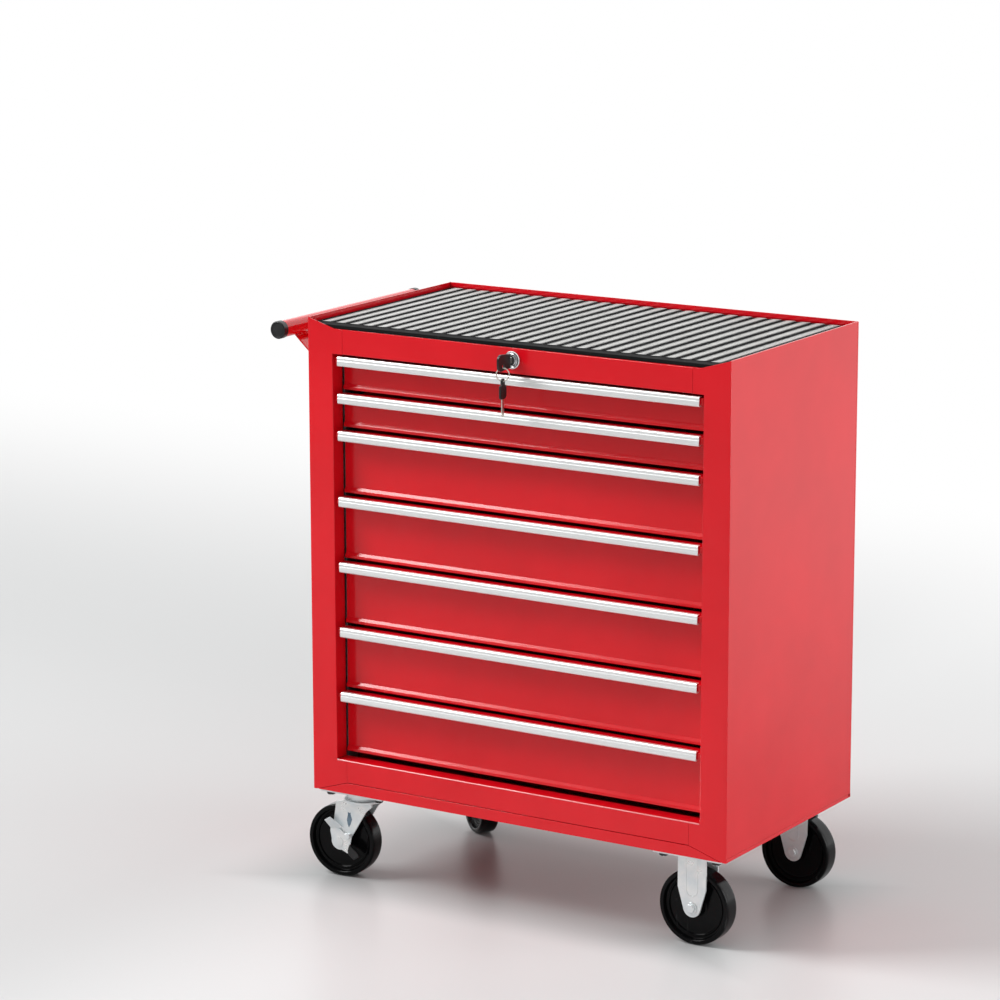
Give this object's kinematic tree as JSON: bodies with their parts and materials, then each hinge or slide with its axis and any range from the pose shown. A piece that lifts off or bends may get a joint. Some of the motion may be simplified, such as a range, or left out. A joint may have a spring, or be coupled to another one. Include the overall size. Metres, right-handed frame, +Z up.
{
  "type": "tool cart",
  "caption": "Sheet-steel roller cabinet with slim drawers, metal pulls, a ribbed top mat, a keyed lock, a side push handle, and fixed and swivel casters.",
  "frame": {"origin": "on the floor, under the middle of the whole cart with its push handle and key", "axes": "+Z up, -Y towards the front with the drawers, -X towards the side with the push handle"},
  "size_m": [0.6765, 0.368, 0.7455],
  "materials": {
    "red_paint": "smooth red enamel, semi-gloss",
    "pull_aluminium": "satin anodised",
    "zinc": "bright zinc plate",
    "lock_chrome": "polished",
    "mat_rubber": "ribbed, black with a grey sheen on the ribs",
    "wheel_black": "moulded, glossy black",
    "black_plastic": "moulded, black"
  },
  "bodies": {
    "cabinet": {"left_side_panel": "red_paint", "right_side_panel": "red_paint", "back_panel": "red_paint", "bottom_pan": "red_paint", "top_rail": "red_paint", "bottom_rail": "red_paint", "top_panel": "red_paint", "top_mat": "mat_rubber", "left_slide_rack": "zinc", "right_slide_rack": "zinc", "push_handle_tube": "red_paint", "handle_cap_front": "black_plastic", "handle_cap_rear": "black_plastic", "handle_bracket_front": "red_paint", "handle_bracket_rear": "red_paint", "lock_barrel": "lock_chrome", "lock_nut": "zinc", "front_left_caster_plate": "zinc", "rear_left_caster_plate": "zinc", "front_right_caster_fork": "zinc", "front_right_caster_axle": "zinc", "rear_right_caster_fork": "zinc", "rear_right_caster_axle": "zinc"},
    "drawer_1": {"drawer_1_front": "red_paint", "drawer_1_box": "red_paint", "drawer_1_pull": "pull_aluminium"},
    "drawer_2": {"drawer_2_front": "red_paint", "drawer_2_box": "red_paint", "drawer_2_pull": "pull_aluminium"},
    "drawer_3": {"drawer_3_front": "red_paint", "drawer_3_box": "red_paint", "drawer_3_pull": "pull_aluminium"},
    "drawer_4": {"drawer_4_front": "red_paint", "drawer_4_box": "red_paint", "drawer_4_pull": "pull_aluminium"},
    "drawer_5": {"drawer_5_front": "red_paint", "drawer_5_box": "red_paint", "drawer_5_pull": "pull_aluminium"},
    "drawer_6": {"drawer_6_front": "red_paint", "drawer_6_box": "red_paint", "drawer_6_pull": "pull_aluminium"},
    "drawer_7": {"drawer_7_front": "red_paint", "drawer_7_box": "red_paint", "drawer_7_pull": "pull_aluminium"},
    "lock": {"lock_plug": "lock_chrome", "key_in_lock": "black_plastic"},
    "front_left_swivel": {"front_left_caster_fork": "zinc", "front_left_caster_axle": "zinc"},
    "front_left_wheel": {"front_left_caster_wheel": "wheel_black"},
    "front_left_brake": {"front_left_caster_brake_lever": "zinc"},
    "rear_left_swivel": {"rear_left_caster_fork": "zinc", "rear_left_caster_axle": "zinc"},
    "rear_left_wheel": {"rear_left_caster_wheel": "wheel_black"},
    "rear_left_brake": {"rear_left_caster_brake_lever": "zinc"},
    "front_right_wheel": {"front_right_caster_wheel": "wheel_black"},
    "rear_right_wheel": {"rear_right_caster_wheel": "wheel_black"}
  },
  "joints": [
    {"name": "drawer_1_slide", "type": "slide", "parent": "cabinet", "child": "drawer_1", "axis": [0, -1, 0], "range_m": [0, 0.24]},
    {"name": "drawer_2_slide", "type": "slide", "parent": "cabinet", "child": "drawer_2", "axis": [0, -1, 0], "range_m": [0, 0.24]},
    {"name": "drawer_3_slide", "type": "slide", "parent": "cabinet", "child": "drawer_3", "axis": [0, -1, 0], "range_m": [0, 0.24]},
    {"name": "drawer_4_slide", "type": "slide", "parent": "cabinet", "child": "drawer_4", "axis": [0, -1, 0], "range_m": [0, 0.24]},
    {"name": "drawer_5_slide", "type": "slide", "parent": "cabinet", "child": "drawer_5", "axis": [0, -1, 0], "range_m": [0, 0.24]},
    {"name": "drawer_6_slide", "type": "slide", "parent": "cabinet", "child": "drawer_6", "axis": [0, -1, 0], "range_m": [0, 0.24]},
    {"name": "drawer_7_slide", "type": "slide", "parent": "cabinet", "child": "drawer_7", "axis": [0, -1, 0], "range_m": [0, 0.24]},
    {"name": "lock_turn", "type": "hinge", "parent": "cabinet", "child": "lock", "pos_m": [0.0308, -0.15, 0.7182], "axis": [0, 1, 0], "range_deg": [0, 90]},
    {"name": "front_left_swivel_turn", "type": "hinge", "parent": "cabinet", "child": "front_left_swivel", "pos_m": [-0.2197, -0.117, 0.1205], "axis": [0, 0, 1], "continuous": true},
    {"name": "front_left_wheel_spin", "type": "hinge", "parent": "front_left_swivel", "child": "front_left_wheel", "pos_m": [-0.24809, -0.11948, 0.049], "axis": [0.0872, -0.9962, 0], "continuous": true},
    {"name": "front_left_brake_rock", "type": "hinge", "parent": "front_left_swivel", "child": "front_left_brake", "pos_m": [-0.24809, -0.11948, 0.049], "axis": [0.0872, -0.9962, 0], "range_deg": [-20, 0]},
    {"name": "rear_left_swivel_turn", "type": "hinge", "parent": "cabinet", "child": "rear_left_swivel", "pos_m": [-0.2197, 0.151, 0.1205], "axis": [0, 0, 1], "continuous": true},
    {"name": "rear_left_wheel_spin", "type": "hinge", "parent": "rear_left_swivel", "child": "rear_left_wheel", "pos_m": [-0.19787, 0.13268, 0.049], "axis": [0.6428, 0.766, 0], "continuous": true},
    {"name": "rear_left_brake_rock", "type": "hinge", "parent": "rear_left_swivel", "child": "rear_left_brake", "pos_m": [-0.19787, 0.13268, 0.049], "axis": [0.6428, 0.766, 0], "range_deg": [-20, 0]},
    {"name": "front_right_wheel_spin", "type": "hinge", "parent": "cabinet", "child": "front_right_wheel", "pos_m": [0.2813, -0.117, 0.049], "axis": [0, 1, 0], "continuous": true},
    {"name": "rear_right_wheel_spin", "type": "hinge", "parent": "cabinet", "child": "rear_right_wheel", "pos_m": [0.2813, 0.151, 0.049], "axis": [0, 1, 0], "continuous": true}
  ]
}
